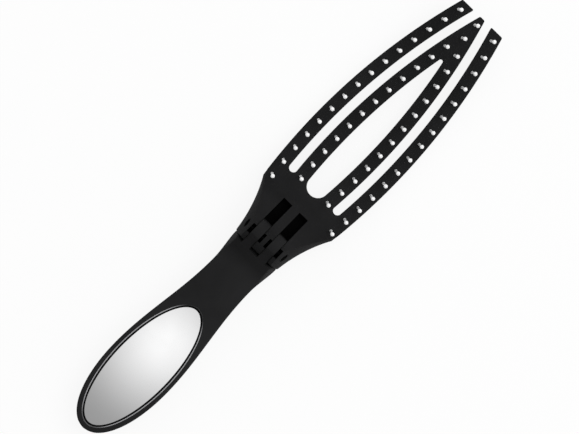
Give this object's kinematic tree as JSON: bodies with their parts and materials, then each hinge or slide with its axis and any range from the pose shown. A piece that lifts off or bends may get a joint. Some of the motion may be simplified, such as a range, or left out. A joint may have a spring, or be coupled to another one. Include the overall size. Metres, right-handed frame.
{
  "type": "folding hairbrush with mirror",
  "caption": "Folding vent hairbrush: an arched head of open ribs with ball-tipped pins, hinged to a handle with an oval mirror in its front.",
  "frame": {"origin": "middle of the bottom of the object's box, with the brush open and lying on its back", "axes": "+X across the brush, +Y from the handle's end toward the rib tips, +Z toward the side of the pins and the mirror"},
  "size_m": [0.0438, 0.2352, 0.0318],
  "materials": {
    "black_moulding": "satin black injection moulding with a fine grain",
    "nylon_pins": "translucent white nylon, smooth",
    "mirror": "silvered glass, flat",
    "pad": "thin black adhesive foam",
    "steel": "blacked steel wire"
  },
  "bodies": {
    "handle": {"handle_body": "black_moulding", "back_plate": "black_moulding", "mirror_glass": "mirror", "mirror_pad": "pad"},
    "head": {"head_frame": "black_moulding", "hinge_pin": "steel", "pin_row_01": "nylon_pins", "pin_row_02": "nylon_pins", "pin_row_03": "nylon_pins", "pin_row_04": "nylon_pins", "pin_row_05": "nylon_pins", "pin_row_06": "nylon_pins", "pin_row_07": "nylon_pins", "pin_row_08": "nylon_pins", "pin_row_09": "nylon_pins", "pin_row_10": "nylon_pins", "pin_row_11": "nylon_pins", "pin_row_12": "nylon_pins", "pin_row_13": "nylon_pins", "pin_row_14": "nylon_pins", "pin_row_15": "nylon_pins"}
  },
  "joints": [
    {"name": "fold", "type": "hinge", "parent": "handle", "child": "head", "pos_m": [0, -0.00905, 0.0248], "axis": [1, 0, 0], "range_deg": [0, 180]}
  ]
}
